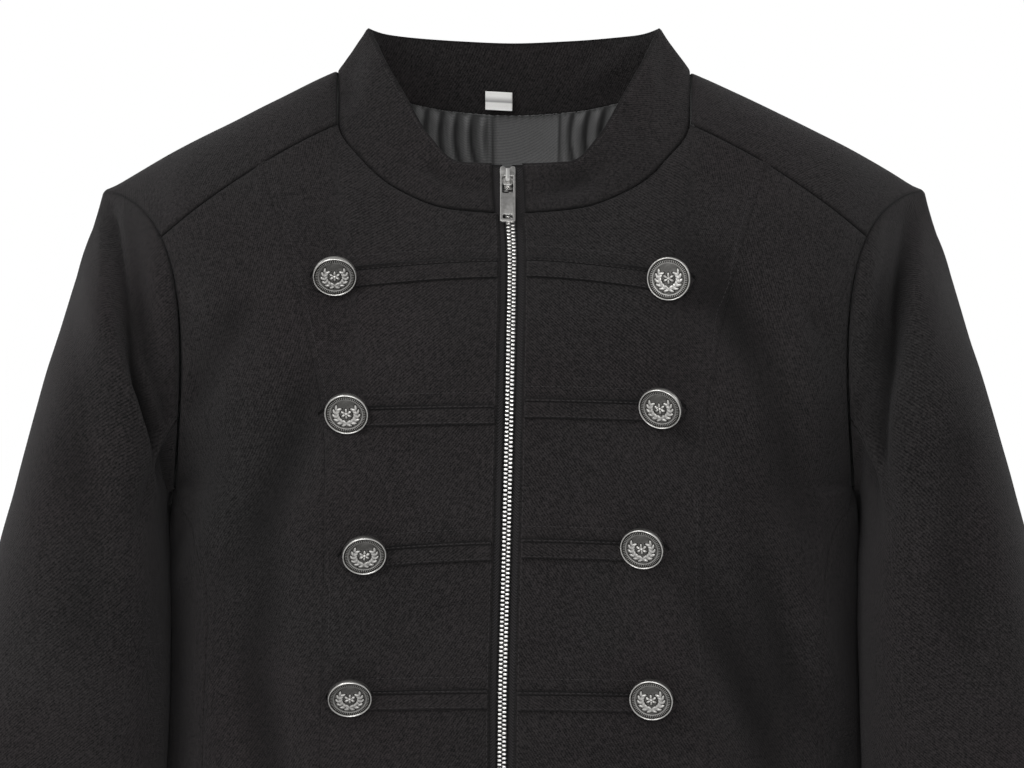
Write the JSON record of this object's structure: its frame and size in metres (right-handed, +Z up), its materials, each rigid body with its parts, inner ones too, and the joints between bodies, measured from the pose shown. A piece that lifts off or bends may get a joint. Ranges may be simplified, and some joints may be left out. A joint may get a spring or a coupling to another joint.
{
  "type": "military style jacket",
  "caption": "Hip length jacket in charcoal twill with a stand collar, front zip, princess seams, long two-piece sleeves and rows of buttoned straps across the chest.",
  "frame": {"origin": "middle of the neck opening, 12 mm below the side neck points, where the wearer's neck and shoulders hold the jacket", "axes": "+Z up as worn, -Y the front with the zip, +X the viewer's right (the wearer's left)"},
  "size_m": [0.794, 0.2479, 0.7173],
  "materials": {
    "charcoal_twill": "matt fine diagonal twill",
    "dark_satin": "shiny satin lining",
    "label_cloth": "plain woven tape, blank",
    "zip_tape": "matt herringbone tape",
    "antique_silver": "bright plated metal with dark recesses"
  },
  "bodies": {
    "jacket": {"back": "charcoal_twill", "button_left_1": "antique_silver", "button_left_2": "antique_silver", "button_left_3": "antique_silver", "button_left_4": "antique_silver", "button_right_1": "antique_silver", "button_right_2": "antique_silver", "button_right_3": "antique_silver", "button_right_4": "antique_silver", "centre_front_left": "charcoal_twill", "centre_front_right": "charcoal_twill", "collar_inner": "charcoal_twill", "collar_outer": "charcoal_twill", "label": "label_cloth", "neck_lining": "dark_satin", "side_front_left": "charcoal_twill", "side_front_right": "charcoal_twill", "side_panel_left": "charcoal_twill", "side_panel_right": "charcoal_twill", "strap_left_1": "charcoal_twill", "strap_left_2": "charcoal_twill", "strap_left_3": "charcoal_twill", "strap_left_4": "charcoal_twill", "strap_right_1": "charcoal_twill", "strap_right_2": "charcoal_twill", "strap_right_3": "charcoal_twill", "strap_right_4": "charcoal_twill", "under_sleeve_left": "charcoal_twill", "under_sleeve_right": "charcoal_twill", "upper_sleeve_left": "charcoal_twill", "upper_sleeve_right": "charcoal_twill", "zip_chain": "antique_silver", "zip_slider": "antique_silver", "zip_tape_left": "zip_tape", "zip_tape_right": "zip_tape"},
    "zip_pull": {"pull_tab": "antique_silver"}
  },
  "joints": [
    {"name": "pull_hinge", "type": "hinge", "parent": "jacket", "child": "zip_pull", "pos_m": [-0.00358, -0.06031, -0.04962], "axis": [-1, 0, 0], "range_deg": [0, 150]}
  ]
}
